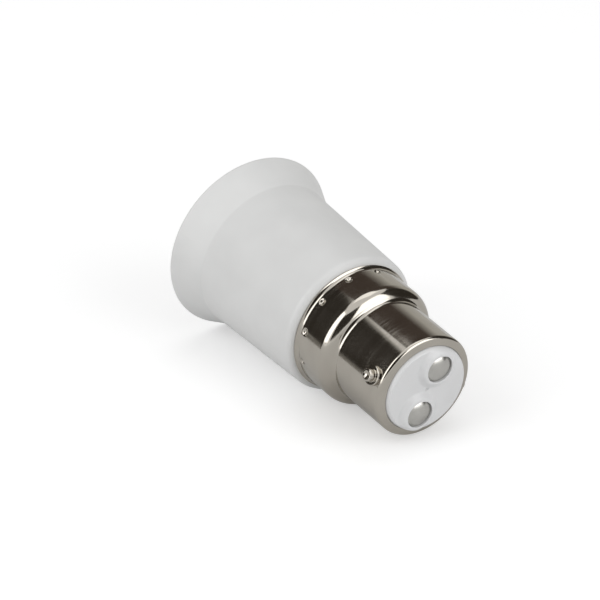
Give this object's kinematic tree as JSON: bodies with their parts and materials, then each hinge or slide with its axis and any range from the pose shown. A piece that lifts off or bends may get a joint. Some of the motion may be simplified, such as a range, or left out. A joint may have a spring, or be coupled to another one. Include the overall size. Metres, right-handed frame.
{
  "type": "lamp socket adapter",
  "caption": "Lamp socket adapter: a plated bayonet cap with side pins on a flared white body, which holds a screw socket with a sprung centre contact for a lamp.",
  "frame": {"origin": "centre of the mouth's rim, on the surface that the adapter stands on", "axes": "+Z along the axis from the mouth to the bayonet cap, +X through bayonet_pin_a, +Y through contact_stud_a"},
  "size_m": [0.0378, 0.0378, 0.0633],
  "materials": {
    "housing_plastic": "satin white moulding",
    "insulator_plastic": "satin white moulding",
    "cap_plate": "nickel plate with fine turning marks",
    "stud_metal": "tinned, satin",
    "shell_metal": "bright rolled sheet",
    "rivet_metal": "bright",
    "contact_strip": "rolled strip",
    "lead_sleeve": "matt"
  },
  "bodies": {
    "adapter": {"housing": "housing_plastic", "screw_shell": "shell_metal", "shell_rivet_a": "rivet_metal", "shell_rivet_b": "rivet_metal", "shell_lead": "lead_sleeve", "centre_lead": "lead_sleeve", "cap_shell": "cap_plate", "bayonet_pin_a": "cap_plate", "bayonet_pin_b": "cap_plate", "insulator": "insulator_plastic", "contact_stud_a": "stud_metal", "contact_stud_b": "stud_metal"},
    "sprung_contact": {"centre_contact": "contact_strip"}
  },
  "joints": [
    {"name": "contact_flex", "type": "hinge", "parent": "adapter", "child": "sprung_contact", "pos_m": [-0.005, 0, 0.03295], "axis": [0, -1, 0], "range_deg": [0, 8], "stiffness_Nm_per_rad": 0.25}
  ]
}
